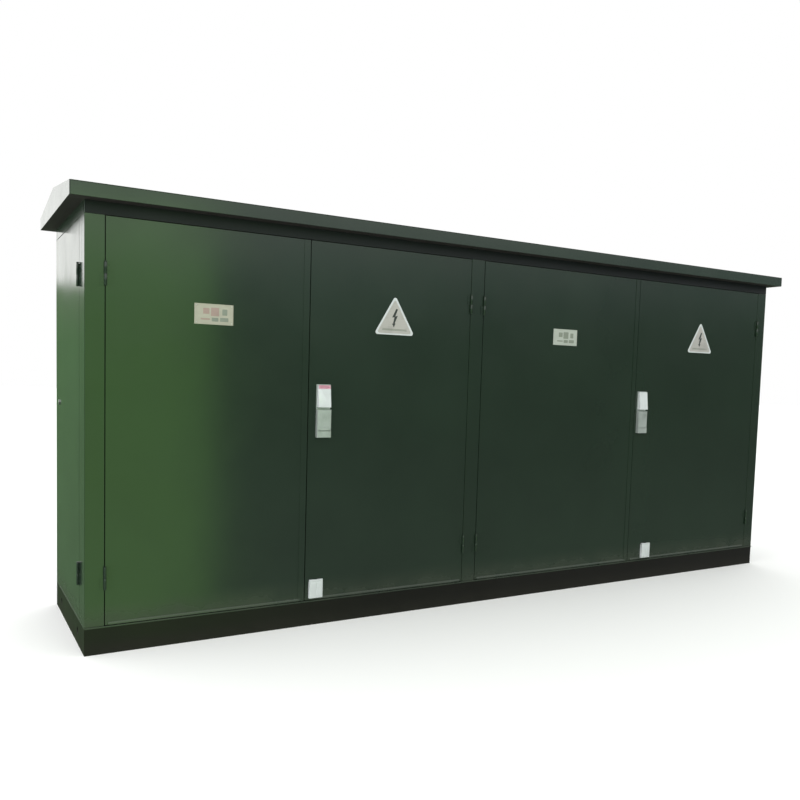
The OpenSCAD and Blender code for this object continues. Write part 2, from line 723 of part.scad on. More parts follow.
// Housing of the ring main switchgear, open at the front and in its floor
module hv_cubicle() color(grey) {
    span([hv_x0, hv_y0 + 20, floor_z], [hv_x0 + 2, hv_y1, hv_top]);
    span([hv_x1 - 2, hv_y0 + 20, floor_z], [hv_x1, hv_y1, hv_top]);
    span([hv_x0 + 2, hv_y1 - 2, floor_z], [hv_x1 - 2, hv_y1, hv_top]);
    difference() {
        span([hv_x0 + 2, hv_y0 + 20, hv_top - 2], [hv_x1 - 2, hv_y1 - 2, hv_top]);
        for (k = [0:2])
            translate([cable_x(k), cable_y, hv_top - 3]) cylinder(r = cable_r + 2, h = 4);
    }
}

// Front covers: cable compartment, operating panel and fuse door
module hv_covers() color("#c9cdc9") {
    w = hv_x1 - hv_x0;
    span([hv_x0, hv_y0, floor_z], [hv_x1, hv_y0 + 20, 700]);
    difference() {
        span([hv_x0, hv_y0, 704], [hv_x1, hv_y0 + 20, 1296]);
        for (x = [0.3, 0.7])
            translate([hv_x0 + x * w, hv_y0 - 1, 1010]) rotate([-90, 0, 0])
                cylinder(r = knob_r + 0.06, h = 22);
    }
    difference() {
        span([hv_x0, hv_y0, 1300], [hv_x1, hv_y0 + 20, hv_top]);
        for (i = [-1:1])
            translate([(hv_x0 + hv_x1) / 2 + i * fuse_pitch, hv_y0 - 1, 1475]) rotate([-90, 0, 0])
                cylinder(r = 50, h = 22);
    }
}

module hv_gas_tank() color(steel)
    span([hv_x0 + 2, hv_y0 + 220, 760], [hv_x1 - 2, hv_y1 - 60, hv_gas_z]);

// Fuse canisters with pull caps
module hv_fuses() color("#7c2f22")
    for (i = [-1:1]) translate([(hv_x0 + hv_x1) / 2 + i * fuse_pitch, hv_y0 - 24, 1475]) rotate([-90, 0, 0]) {
        cylinder(r = 50, h = 620);
        translate([-8, -42, -20]) cube([16, 84, 20]);
    }

// Rotary operating knob of the switchgear
module rotary_knob(r) {
    translate([0, 0, -90]) cylinder(r = r, h = 90);
    cylinder(r = r + 14, h = 12);
    translate([-9, -r - 10, 12]) cube([18, 2 * r + 20, 26]);
}

module hv_knob() color(dark)
    translate([hv_x0 + 0.3 * (hv_x1 - hv_x0), hv_y0 - 1, 1010]) rotate([90, 0, 0]) rotary_knob(knob_r);

module hv_earth_knob() color("#b3261e")
    translate([hv_x0 + 0.7 * (hv_x1 - hv_x0), hv_y0 - 1, 1010]) rotate([90, 0, 0]) rotary_knob(knob_r);

// High-voltage cables from the top of the gas tank over to the transformer's bushings
module hv_cables() color("#8a2b20")
    for (k = [0:2]) {
        x0 = cable_x(k);
        x1 = tank_x + bushing_x[k];
        run_z = cable_z + k * 60;
        translate([x0, cable_y, hv_gas_z]) cylinder(r = cable_r, h = run_z - bend_r - hv_gas_z);
        translate([x0 + bend_r, cable_y, run_z - bend_r]) rotate([-90, 180, 0])
            rotate_extrude(angle = 90) translate([bend_r, 0]) circle(r = cable_r);
        translate([x0 + bend_r, cable_y, run_z]) rotate([0, 90, 0])
            cylinder(r = cable_r, h = x1 - x0 - 2 * bend_r);
        translate([x1 - bend_r, cable_y, run_z - bend_r]) rotate([-90, -90, 0])
            rotate_extrude(angle = 90) translate([bend_r, 0]) circle(r = cable_r);
        translate([x1, cable_y, bushing_top]) cylinder(r = cable_r, h = run_z - bend_r - bushing_top);
    }

// Mounting frame, three plates, four meters and the earth bar of the low-voltage board
module lv_board() color(grey) {
    back = lv_y + 4 - butt_gap;
    for (x = [lv_x0, lv_x1 - 40])
        span([x, lv_y + 4, floor_z], [x + 40, lv_y + 44, 2100]);
    for (z = [[420, 700], [760, 1110], [1500, 1800]])
        span([lv_x0, lv_y, z[0]], [lv_x1, back, z[1]]);
    for (i = [0:3])
        span([lv_x0 + 120 + i * 200, lv_y - 30, 1580], [lv_x0 + 216 + i * 200, lv_y, 1676]);
    span([lv_x0, lv_y - 3, 300], [lv_x1, back, 340]);
}

module lv_breakers() color("#3a3d3f") {
    xm = (lv_x0 + lv_x1) / 2;
    difference() {
        span([xm - 170, lv_y - 180, 790], [xm + 170, lv_y, 1150]);
        translate([xm, lv_y - 181, 970]) rotate([-90, 0, 0]) cylinder(r = 12.06, h = 60);
    }
    for (s = [-1, 1])
        difference() {
            span([xm + s * 250 - 70, lv_y - 100, 440], [xm + s * 250 + 70, lv_y, 680]);
            span([xm + s * 250 - 16, lv_y - 101, 520], [xm + s * 250 + 16, lv_y - 60, 600]);
        }
}

module lv_knob() color(dark)
    translate([(lv_x0 + lv_x1) / 2, lv_y - 180, 970]) rotate([90, 0, 0]) {
        translate([0, 0, -50]) cylinder(r = 12, h = 51);
        translate([0, 0, 1]) cylinder(r = 45, h = 12);
        translate([-12, -60, 13]) cube([24, 120, 24]);
    }

module lv_toggle(s) color("#d7d9d6")
    translate([(lv_x0 + lv_x1) / 2 + s * 250, lv_y - 68, 560]) {
        rotate([0, 90, 0]) translate([0, 0, -15]) cylinder(r = 6, h = 30);
        span([-10, -58, -5], [10, 0, 5]);
    }

// Copper bars: a riser on each bushing, a run through the partition and a drop to the breaker
module lv_busbars() color(copper)
    for (k = [0:3]) {
        z = 1500 + k * 70;
        x1 = tank_x + lv_bushing_x[k] + 6;
        drop_x = (lv_x0 + lv_x1) / 2 + 115 - k * 90;
        span([x1, -150, lid_z + lid_t + 110], [x1 + 10, -50, z + 50]);
        span([drop_x, -60, z], [x1 + 10, -50, z + 50]);
        span([drop_x, -70, 1115], [drop_x + 40, -60, z + 50]);
        span([drop_x, lv_y, 1115], [drop_x + 40, -60, 1125]);
    }

base_channels();
floor_plates();
sill_frame();
wall_posts();
wall_rails();
stop_lips();
door_seals();
rear_panels();
right_end_panel();
partitions();
roof_cover();
roof_frame();
frame_hinges();
panel_bolts();
door_leaf(leaf_1);  // door_1_leaf
door_leaf(leaf_2);  // door_2_leaf
door_leaf(leaf_3);  // door_3_leaf
door_leaf(leaf_4);  // door_4_leaf
name_plate(leaf_1);  // name_plate_1
warning_sign(leaf_2);  // warning_sign_2
name_plate(leaf_3);  // name_plate_3
warning_sign(leaf_4);  // warning_sign_4
end_door_leaf();
end_door_latch();
lock_body(leaf_2);  // lock_2_body
lock_cover(leaf_2);  // lock_2_cover
lock_handle(leaf_2);  // lock_2_handle
lock_top_rod(leaf_2);  // lock_2_top_rod
lock_foot_rod(leaf_2);  // lock_2_foot_rod
lock_body(leaf_4);  // lock_4_body
lock_cover(leaf_4);  // lock_4_cover
lock_handle(leaf_4);  // lock_4_handle
lock_top_rod(leaf_4);  // lock_4_top_rod
lock_foot_rod(leaf_4);  // lock_4_foot_rod
foot_bolt(meet_a + foot_offset_left);  // foot_bolt_2
foot_cover(meet_a + foot_offset_left);  // foot_cover_2
foot_bolt(meet_b + foot_offset_right);  // foot_bolt_4
foot_cover(meet_b + foot_offset_right);  // foot_cover_4
tx_tank();
tx_fins();
tx_lid();
tx_core();
tx_windings();
tx_hv_bushings();
tx_lv_bushings();
tx_tap_knob();
tx_fittings();
hv_cubicle();
hv_covers();
hv_gas_tank();
hv_fuses();
hv_knob();
hv_earth_knob();
hv_cables();
lv_board();
lv_breakers();
lv_knob();
lv_toggle(-1);  // lv_toggle_1
lv_toggle(1);  // lv_toggle_2
lv_busbars();
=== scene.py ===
"""Looks of a transformer kiosk: finishes, signs, locks, fittings, studio and camera."""

import json
import logging
import math
from collections.abc import Sequence
from dataclasses import dataclass, field
from enum import Enum

import bmesh
import bpy
from mathutils import Matrix, Vector


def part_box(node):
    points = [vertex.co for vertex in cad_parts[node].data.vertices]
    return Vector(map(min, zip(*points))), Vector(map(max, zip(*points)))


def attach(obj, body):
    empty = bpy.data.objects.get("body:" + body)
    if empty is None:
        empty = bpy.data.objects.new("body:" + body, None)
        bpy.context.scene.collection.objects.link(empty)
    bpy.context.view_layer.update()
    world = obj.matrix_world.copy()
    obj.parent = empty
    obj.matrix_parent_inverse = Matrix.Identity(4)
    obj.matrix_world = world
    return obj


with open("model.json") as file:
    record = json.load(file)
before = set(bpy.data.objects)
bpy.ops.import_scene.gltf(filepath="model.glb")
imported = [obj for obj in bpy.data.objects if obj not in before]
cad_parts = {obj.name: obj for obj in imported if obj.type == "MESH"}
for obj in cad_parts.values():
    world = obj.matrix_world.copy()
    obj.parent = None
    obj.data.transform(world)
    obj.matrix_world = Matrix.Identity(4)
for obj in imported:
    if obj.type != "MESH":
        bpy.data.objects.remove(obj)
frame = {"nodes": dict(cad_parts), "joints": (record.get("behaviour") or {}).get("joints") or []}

LOG = logging.getLogger("kiosk")
MM = 0.001
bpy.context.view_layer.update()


def linear(hex_colour: str) -> tuple[float, float, float, float]:
    """Turns an sRGB hex colour into linear RGBA.

    Args:
        hex_colour: six hex digits after a hash sign.

    Returns:
        The linear red, green, blue and an alpha of one.
    """
    channels = [int(hex_colour[i:i + 2], 16) / 255 for i in (1, 3, 5)]
    curve = [c / 12.92 if c <= 0.04045 else ((c + 0.055) / 1.055) ** 2.4 for c in channels]
    return (*curve, 1.0)


def add_node(tree: bpy.types.NodeTree, kind: str, settings: dict | None = None,
             **inputs: object) -> bpy.types.Node:
    """Adds one shader node, sets it up and links it.

    Args:
        tree: the node tree that gets the node.
        kind: the node's type, without the ShaderNode prefix.
        settings: properties of the node itself.
        **inputs: a value or an output socket for each input. Underscores stand for spaces, and
            a name such as i1 means the input with that number.

    Returns:
        The new node.
    """
    node = tree.nodes.new("ShaderNode" + kind)
    for key, value in (settings or {}).items():
        setattr(node, key, value)
    for key, value in inputs.items():
        numbered = key[0] == "i" and key[1:].isdigit()
        socket = node.inputs[int(key[1:]) if numbered else key.replace("_", " ")]
        if isinstance(value, bpy.types.NodeSocket):
            tree.links.new(value, socket)
        else:
            socket.default_value = value
    return node


def ramp(tree: bpy.types.NodeTree, factor: bpy.types.NodeSocket,
         stops: Sequence[tuple[float, str]]) -> bpy.types.NodeSocket:
    """Adds a colour ramp.

    Args:
        tree: the node tree.
        factor: what drives the ramp.
        stops: position and hex colour of each stop.

    Returns:
        The ramp's colour output.
    """
    node = add_node(tree, "ValToRGB", Fac=factor)
    points = node.color_ramp.elements
    while len(points) < len(stops):
        points.new(0.5)
    for point, (place, colour) in zip(points, stops):
        point.position = place
        point.color = linear(colour)
    return node.outputs["Color"]


def new_material(name: str) -> tuple[bpy.types.Material, bpy.types.NodeTree, bpy.types.Node]:
    """Makes a material with one Principled shader.

    Args:
        name: the material's name.

    Returns:
        The material, its node tree and its shader node.
    """
    material = bpy.data.materials.new(name)
    material.use_nodes = True
    tree = material.node_tree
    return material, tree, tree.nodes["Principled BSDF"]


def per_metre(size_mm: float) -> float:
    """Texture scale that gives features of a size, for coordinates in metres."""
    return 1.0 / (size_mm * MM)


@dataclass(frozen=True)
class GlossEnamel:
    """Gloss polyester enamel sprayed on folded sheet steel.

    Spraying leaves a fine orange peel, and the sheet bows a little between its folds, so
    reflections wander softly over a flat panel. Rain splashes a thin film of dust over the
    lowest hand's breadth, which dulls the gloss there. Faces that look down get a dull
    brownish tone and a duller gloss: painted shade, for the shade under eaves and ledges. The
    peel is a few millimetres across, less than a view of the whole kiosk can show, so it is
    there for close views.
    """

    name: str
    colour: str
    shade: str
    dust: str = "#5a5c4e"
    # Painted shade: the tone given to faces that look down.
    underside_painted_shade: str = "#2a2724"
    roughness: float = 0.13
    ior: float = 1.5
    peel_mm: float = 5.0
    bow_mm: float = 620.0
    bow_height: float = 0.0010
    dust_foot: float = 0.14
    dust_top: float = 0.30
    dust_strength: float = 0.3

    def make(self) -> bpy.types.Material:
        """Builds the material."""
        material, tree, shader = new_material(self.name)
        place = add_node(tree, "TexCoord").outputs["Object"]
        patches = add_node(tree, "TexNoise", Vector=place, Scale=per_metre(700), Detail=4.0)
        paint = ramp(tree, patches.outputs["Fac"], [(0.35, self.shade), (0.65, self.colour)])
        height = add_node(tree, "SeparateXYZ", Vector=place).outputs["Z"]
        low = add_node(tree, "MapRange", {"interpolation_type": "SMOOTHSTEP"}, Value=height,
                       From_Min=self.dust_foot, From_Max=self.dust_top,
                       To_Min=self.dust_strength, To_Max=0.0)
        clouds = add_node(tree, "TexNoise", Vector=place, Scale=per_metre(120), Detail=5.0)
        film = add_node(tree, "Math", {"operation": "MULTIPLY"}, i0=low.outputs["Result"],
                        i1=clouds.outputs["Fac"])
        dusty = add_node(tree, "MixRGB", Fac=film.outputs["Value"], Color1=paint,
                         Color2=linear(self.dust))
        # Painted shade: faces that look down take a dull brownish tone, which stands in for the
        # shade under the eaves and ledges.
        facing = add_node(tree, "TexCoord").outputs["Normal"]
        down = add_node(tree, "MapRange", From_Min=-0.6, From_Max=-0.9,
                        Value=add_node(tree, "SeparateXYZ", Vector=facing).outputs["Z"])
        coloured = add_node(tree, "MixRGB", Fac=down.outputs["Result"],
                            Color1=dusty.outputs["Color"], Color2=linear(self.underside_painted_shade))
        tree.links.new(coloured.outputs["Color"], shader.inputs["Base Color"])
        smears = add_node(tree, "TexNoise", Vector=place, Scale=per_metre(260), Detail=3.0)
        wiped = add_node(tree, "MapRange", Value=smears.outputs["Fac"], From_Min=0.3, From_Max=0.7,
                         To_Min=self.roughness, To_Max=self.roughness + 0.06)
        gloss = add_node(tree, "Math", {"operation": "ADD"}, i0=wiped.outputs["Result"],
                         i1=film.outputs["Value"])
        dull = add_node(tree, "Math", {"operation": "MULTIPLY_ADD"}, i0=down.outputs["Result"],
                        i1=0.6, i2=gloss.outputs["Value"])
        tree.links.new(dull.outputs["Value"], shader.inputs["Roughness"])
        peel = add_node(tree, "TexNoise", Vector=place, Scale=per_metre(self.peel_mm), Detail=1.0)
        bow = add_node(tree, "TexNoise", Vector=place, Scale=per_metre(self.bow_mm), Detail=0.0)
        fine = add_node(tree, "Bump", Height=peel.outputs["Fac"], Distance=0.00005, Strength=0.5)
        wide = add_node(tree, "Bump", Height=bow.outputs["Fac"], Distance=self.bow_height,
                        Strength=1.0, Normal=fine.outputs["Normal"])
        tree.links.new(wide.outputs["Normal"], shader.inputs["Normal"])
        shader.inputs["IOR"].default_value = self.ior
        return material


@dataclass(frozen=True)
class BrushedMetal:
    """Rolled, plated or brushed metal with a fine grain along one axis and faint handling marks.

    Real brush lines are well under a millimetre apart. They are drawn coarser, at about a
    millimetre, for close views.
    """

    name: str
    colour: str
    shade: str
    roughness: float = 0.34
    grain_mm: float = 1.2
    along: int = 2
    metallic: float = 1.0

    def make(self) -> bpy.types.Material:
        """Builds the material."""
        material, tree, shader = new_material(self.name)
        place = add_node(tree, "TexCoord").outputs["Object"]
        scale = [per_metre(self.grain_mm)] * 3
        scale[self.along] = per_metre(self.grain_mm * 60)
        stretched = add_node(tree, "Mapping", Vector=place, Scale=scale)
        grain = add_node(tree, "TexNoise", Vector=stretched.outputs["Vector"], Scale=1.0,
                         Detail=2.0)
        marks = add_node(tree, "TexNoise", Vector=place, Scale=per_metre(60), Detail=5.0)
        mixed = add_node(tree, "Math", {"operation": "ADD"}, i0=grain.outputs["Fac"],
                         i1=marks.outputs["Fac"])
        tone = ramp(tree, mixed.outputs["Value"], [(0.7, self.shade), (1.0, self.colour)])
        tree.links.new(tone, shader.inputs["Base Color"])
        gloss = add_node(tree, "MapRange", Value=marks.outputs["Fac"], To_Min=self.roughness - 0.08,
                         To_Max=self.roughness + 0.12)
        tree.links.new(gloss.outputs["Result"], shader.inputs["Roughness"])
        bump = add_node(tree, "Bump", Height=grain.outputs["Fac"], Distance=0.00005, Strength=0.5)
        tree.links.new(bump.outputs["Normal"], shader.inputs["Normal"])
        shader.inputs["Metallic"].default_value = self.metallic
        return material


@dataclass(frozen=True)
class Moulding:
    """Moulded plastic, resin or rubber with a fine spark-eroded grain.

    Real grain is under a millimetre wide. It is drawn coarser, for close views.
    """

    name: str
    colour: str
    roughness: float = 0.45
    grain_mm: float = 1.5
    depth: float = 0.00004
    coat: float = 0.0

    def make(self) -> bpy.types.Material:
        """Builds the material."""
        material, tree, shader = new_material(self.name)
        place = add_node(tree, "TexCoord").outputs["Object"]
        cloud = add_node(tree, "TexNoise", Vector=place, Scale=per_metre(40), Detail=4.0)
        darker = [channel * 0.82 for channel in linear(self.colour)[:3]]
        tone = add_node(tree, "MixRGB", Fac=cloud.outputs["Fac"], Color1=(*darker, 1.0),
                        Color2=linear(self.colour))
        tree.links.new(tone.outputs["Color"], shader.inputs["Base Color"])
        grain = add_node(tree, "TexNoise", Vector=place, Scale=per_metre(self.grain_mm), Detail=3.0)
        bump = add_node(tree, "Bump", Height=grain.outputs["Fac"], Distance=self.depth,
                        Strength=0.7)
        tree.links.new(bump.outputs["Normal"], shader.inputs["Normal"])
        shader.inputs["Roughness"].default_value = self.roughness
        shader.inputs["Coat Weight"].default_value = self.coat
        shader.inputs["Coat Roughness"].default_value = 0.08
        return material


@dataclass(frozen=True)
class Galvanised:
    """Hot-dip galvanised sheet: dull zinc with a spangle of flat crystals."""

    name: str
    light: str = "#b9bfc2"
    dark: str = "#8d9497"
    spangle_mm: float = 14.0

    def make(self) -> bpy.types.Material:
        """Builds the material."""
        material, tree, shader = new_material(self.name)
        place = add_node(tree, "TexCoord").outputs["Object"]
        cells = add_node(tree, "TexVoronoi", Vector=place, Scale=per_metre(self.spangle_mm))
        grey = add_node(tree, "RGBToBW", Color=cells.outputs["Color"])
        tone = ramp(tree, grey.outputs["Val"], [(0.0, self.dark), (1.0, self.light)])
        tree.links.new(tone, shader.inputs["Base Color"])
        gloss = add_node(tree, "MapRange", Value=grey.outputs["Val"], To_Min=0.38, To_Max=0.6)
        tree.links.new(gloss.outputs["Result"], shader.inputs["Roughness"])
        shader.inputs["Metallic"].default_value = 1.0
        return material


class Palette:
    """Every finish of the kiosk, made once."""

    def __init__(self) -> None:
        """Makes the materials."""
        self.green = GlossEnamel("green_gloss_enamel_sprayed", "#212e24", "#1e2a21").make()
        # Painted shade: the top rails under the eave get a near-black bluish enamel that stands in
        # for the eave's shadow on them.
        self.header = GlossEnamel("blue_black_enamel_painted_eave_shade", "#12171a", "#101417",
                                  roughness=0.5, ior=1.4).make()
        self.black = GlossEnamel("black_semi_gloss_enamel_brushed", "#110f0b", "#0e0c08",
                                 dust="#3c372d", roughness=0.4, ior=1.4, peel_mm=4.0,
                                 bow_height=0.0004, dust_foot=0.0, dust_top=0.1,
                                 dust_strength=0.2).make()
        self.grey = GlossEnamel("grey_powder_coat", "#a3a8a6", "#989d9b", roughness=0.4,
                                peel_mm=2.5, bow_height=0.0002).make()
        self.cream = GlossEnamel("cream_powder_coat", "#c4c6c0", "#bbbdb6", roughness=0.4,
                                 peel_mm=2.5, bow_height=0.0002).make()
        self.galvanised = Galvanised("galvanised_steel_spangled").make()
        self.zinc = BrushedMetal("bright_zinc_plate", "#c9cdc9", "#a9ada9", 0.3).make()
        self.stainless = BrushedMetal("stainless_steel_brushed", "#c2c2be", "#a8a8a4", 0.32,
                                      along=0).make()
        self.die_cast = BrushedMetal("zinc_die_cast_satin", "#b2b9b6", "#989f9b", 0.42,
                                     grain_mm=0.9, metallic=0.55).make()
        self.sign = BrushedMetal("anodised_aluminium_sign", "#b5b1ae", "#a09d9a", 0.48,
                                 along=0, metallic=0.35).make()
        self.white = Moulding("white_enamel_on_die_cast", "#cbcfd1", 0.3, 2.0, 0.00002, 0.3).make()
        self.film = Moulding("pink_protective_film", "#ecb2c4", 0.4, 3.0, 0.00008).make()
        self.plate = Moulding("cream_printed_plate", "#a5a294", 0.42, 2.0, 0.00002).make()
        self.plate_grey = Moulding("grey_printed_plate", "#a9aea6", 0.42, 2.0, 0.00002).make()
        self.print_rose = Moulding("rose_printed_field", "#9c877f", 0.5).make()
        self.print_grey = Moulding("grey_printed_field", "#7d8478", 0.5).make()
        self.print_dark = Moulding("dark_printed_mark", "#2e3433", 0.5).make()
        self.rubber = Moulding("epdm_rubber_extruded", "#1c1d1d", 0.6, 1.0, 0.00006).make()
        self.black_plastic = Moulding("black_phenolic_moulded", "#1f2021", 0.42).make()
        self.dark_plastic = Moulding("grey_phenolic_moulded", "#3f4447", 0.42).make()
        self.light_plastic = Moulding("white_nylon_moulded", "#d8dad5", 0.38).make()
        self.red_plastic = Moulding("red_nylon_moulded", "#a8231b", 0.36).make()
        self.resin = Moulding("red_epoxy_cast", "#7a3026", 0.3, 6.0, 0.00005, 0.2).make()
        self.jacket = Moulding("red_cable_sheath_extruded", "#8a2f24", 0.5, 2.0, 0.00005).make()
        self.porcelain = Moulding("brown_glazed_porcelain", "#5b2f1c", 0.1, 8.0, 0.00003,
                                  0.5).make()
        self.copper = BrushedMetal("rolled_copper_bar", "#d08a62", "#a9623f", 0.3, along=0).make()
        self.core = BrushedMetal("silicon_steel_laminations", "#54565a", "#2f3134", 0.45,
                                 grain_mm=2.0, along=0).make()


class Facing(Enum):
    """Which way a piece's face looks: its right, up and out directions."""

    FRONT = ((1, 0, 0), (0, 0, 1), (0, -1, 0))
    LEFT = ((0, -1, 0), (0, 0, 1), (-1, 0, 0))
    TOP = ((1, 0, 0), (0, 1, 0), (0, 0, 1))

    def at(self, origin: Vector | tuple[float, float, float]) -> Matrix:
        """Gives the matrix from millimetres on this face to metres in the kiosk's frame.

        Args:
            origin: where the face's own origin lies, in metres.

        Returns:
            The 4 by 4 matrix.
        """
        right, up, out = (Vector(v) * MM for v in self.value)
        turn = Matrix((right, up, out)).transposed().to_4x4()
        return Matrix.Translation(origin) @ turn


def arc(centre: tuple[float, float], radius: float, start: float, end: float,
        steps: int = 5) -> list[tuple[float, float]]:
    """Points along an arc.

    Args:
        centre: the arc's centre.
        radius: its radius.
        start: first angle in degrees.
        end: last angle in degrees.
        steps: how many stretches the arc has.

    Returns:
        The points in order.
    """
    angles = [math.radians(start + (end - start) * i / steps) for i in range(steps + 1)]
    return [(centre[0] + radius * math.cos(t), centre[1] + radius * math.sin(t)) for t in angles]


def rounded_box(width: float, height: float, radius: float,
                centre: tuple[float, float] = (0.0, 0.0)) -> list[tuple[float, float]]:
    """Outline of a rectangle with round corners, in millimetres."""
    w, h = width / 2 - radius, height / 2 - radius
    corners = [(w, h, 0), (-w, h, 90), (-w, -h, 180), (w, -h, 270)]
    return [p for x, y, a in corners
            for p in arc((centre[0] + x, centre[1] + y), radius, a, a + 90)]


def rounded_triangle(side: float, radius: float, foot: float = 0.0) -> list[tuple[float, float]]:
    """Outline of a triangle that stands on its side, with round corners.

    Args:
        side: length between the centres of the two foot corners' arcs.
        radius: radius of each corner.
        foot: height of the lowest edge.

    Returns:
        The outline, in millimetres.
    """
    rise = side * math.sqrt(3) / 2 * 0.97
    low = foot + radius
    corners = [((side / 2, low), -90, 30), ((0.0, low + rise), 30, 150),
               ((-side / 2, low), 150, 270)]
    return [p for centre, start, end in corners for p in arc(centre, radius, start, end, 8)]


class Shape:
    """A mesh under construction, in millimetres on a face: x right, y up, z out of the face."""

    def __init__(self) -> None:
        """Starts an empty mesh."""
        self.mesh = bmesh.new()

    def slab(self, outline: list[tuple[float, float]], low: float, high: float,
             soften: float = 0.0) -> "Shape":
        """Adds a flat solid with the given outline.

        Args:
            outline: points of the outline, anticlockwise.
            low: height of the back face.
            high: height of the front face.
            soften: width of the round on the front edge.

        Returns:
            The shape itself.
        """
        part = bmesh.new()
        base = part.faces.new([part.verts.new((x, y, low)) for x, y in outline])
        grown = bmesh.ops.extrude_face_region(part, geom=[base])
        top = [v for v in grown["geom"] if isinstance(v, bmesh.types.BMVert)]
        for vertex in top:
            vertex.co.z = high
        bmesh.ops.recalc_face_normals(part, faces=part.faces)
        if soften > 0:
            rim = [e for e in part.edges if all(v in top for v in e.verts)]
            bmesh.ops.bevel(part, geom=rim, offset=soften, segments=3, profile=0.5,
                            affect="EDGES")
        self.take(part)
        return self

    def turned(self, profile: list[tuple[float, float]], at: tuple[float, float] = (0.0, 0.0),
               sides: int = 32) -> "Shape":
        """Adds a solid of revolution about an axis that points out of the face.

        Args:
            profile: radius and height of each point, from the foot to the tip.
            at: where the axis stands.
            sides: how many sides approximate the round.

        Returns:
            The shape itself.
        """
        part = bmesh.new()
        rings = []
        for radius, height in profile:
            if radius <= 0:
                rings.append([part.verts.new((at[0], at[1], height))])
                continue
            angles = [2 * math.pi * i / sides for i in range(sides)]
            rings.append([part.verts.new((at[0] + radius * math.cos(t),
                                          at[1] + radius * math.sin(t), height))
                          for t in angles])
        for low, high in zip(rings, rings[1:]):
            for i in range(sides):
                j = (i + 1) % sides
                ring = [low[i % len(low)], low[j % len(low)], high[j % len(high)],
                        high[i % len(high)]]
                corners = list(dict.fromkeys(ring))
                if len(corners) > 2:
                    part.faces.new(corners)
        for ring in (rings[0], rings[-1]):
            if len(ring) > 2:
                part.faces.new(ring)
        bmesh.ops.recalc_face_normals(part, faces=part.faces)
        self.take(part)
        return self

    def frame(self, outer: list[tuple[float, float]], inner: list[tuple[float, float]],
              low: float, high: float, soften: float = 0.0) -> "Shape":
        """Adds a flat ring between two outlines with the same number of points.

        Args:
            outer: points of the outer outline.
            inner: points of the inner outline, in the same order.
            low: height of the back face.
            high: height of the front face.
            soften: how far the front edges are rounded over.

        Returns:
            The shape itself.
        """
        part = bmesh.new()
        count = len(outer)
        middle_x = sum(x for x, _ in outer) / count
        middle_y = sum(y for _, y in outer) / count

        def moved(point: tuple[float, float], by: float) -> tuple[float, float]:
            """Moves a point towards the outline's middle by a distance."""
            dx, dy = middle_x - point[0], middle_y - point[1]
            length = math.hypot(dx, dy)
            return point[0] + dx / length * by, point[1] + dy / length * by

        levels = [(outer, 0.0, low), (outer, 0.0, high - soften), (outer, soften, high),
                  (inner, -soften, high), (inner, 0.0, high - soften), (inner, 0.0, low)]
        if soften <= 0:
            levels = [levels[0], levels[2], levels[3], levels[5]]
        loops = [[part.verts.new((*moved(p, by), z)) for p in line] for line, by, z in levels]
        for one, other in zip(loops, loops[1:] + loops[:1]):
            for i in range(count):
                j = (i + 1) % count
                part.faces.new([one[i], one[j], other[j], other[i]])
        bmesh.ops.recalc_face_normals(part, faces=part.faces)
        self.take(part)
        return self

    def screw(self, at: tuple[float, float], radius: float, high: float,
              low: float = 0.0) -> "Shape":
        """Adds a round-headed screw with a sunk drive."""
        profile = [(radius, low), (radius, low + high * 0.55), (radius * 0.8, low + high),
                   (radius * 0.48, low + high), (radius * 0.42, low + high * 0.5),
                   (0.0, low + high * 0.5)]
        return self.turned(profile, at, sides=12)

    def take(self, part: bmesh.types.BMesh) -> None:
        """Joins a finished part into this shape."""
        scratch = bpy.data.meshes.new("scratch")
        part.to_mesh(scratch)
        part.free()
        self.mesh.from_mesh(scratch)
        bpy.data.meshes.remove(scratch)

    def finish(self, name: str, place: Matrix, material: bpy.types.Material, body: str,
               slot: str) -> bpy.types.Object:
        """Turns the shape into a named piece that rides on a body.

        Args:
            name: the piece's name.
            place: matrix from the face's millimetres to metres.
            material: its finish.
            body: the body it moves with.
            slot: the record's material slot; not used.

        Returns:
            The new object.
        """
        data = bpy.data.meshes.new(name)
        self.mesh.transform(place)
        self.mesh.to_mesh(data)
        self.mesh.free()
        data.materials.append(material)
        data.shade_smooth()
        data.set_sharp_from_angle(angle=math.radians(35))
        piece = bpy.data.objects.new(name, data)
        bpy.context.scene.collection.objects.link(piece)
        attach(piece, body)
        LOG.info("piece %s on %s", name, body)
        return piece


def dress(material: bpy.types.Material, *nodes: str, edge_mm: float = 0.0) -> None:
    """Gives CAD nodes a finish and, where it shows, rounded edges.

    Args:
        material: the finish.
        *nodes: names of the nodes.
        edge_mm: radius of the rounded edges.
    """
    for name in nodes:
        node = frame["nodes"][name]
        node.data.materials.clear()
        node.data.materials.append(material)
        if edge_mm > 0:
            weld = node.modifiers.new("weld", "WELD")
            weld.merge_threshold = 0.00002
            bevel = node.modifiers.new("edge", "BEVEL")
            bevel.width = edge_mm * MM
            bevel.segments = 2
            bevel.limit_method = "ANGLE"
            bevel.angle_limit = math.radians(50)
            bevel.harden_normals = True
        LOG.info("dressed %s", name)


def face_of(node: str, facing: Facing) -> Vector:
    """Middle of one side of a node's box.

    Args:
        node: the node's name.
        facing: which side.

    Returns:
        The point, in metres.
    """
    low, high = (Vector(c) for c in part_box(node))
    middle = (low + high) / 2
    out = Vector(facing.value[2])
    half = Vector(abs(o) * (h - l) / 2 for o, l, h in zip(out, low, high))
    return middle + Vector(o * s for o, s in zip(out, half))


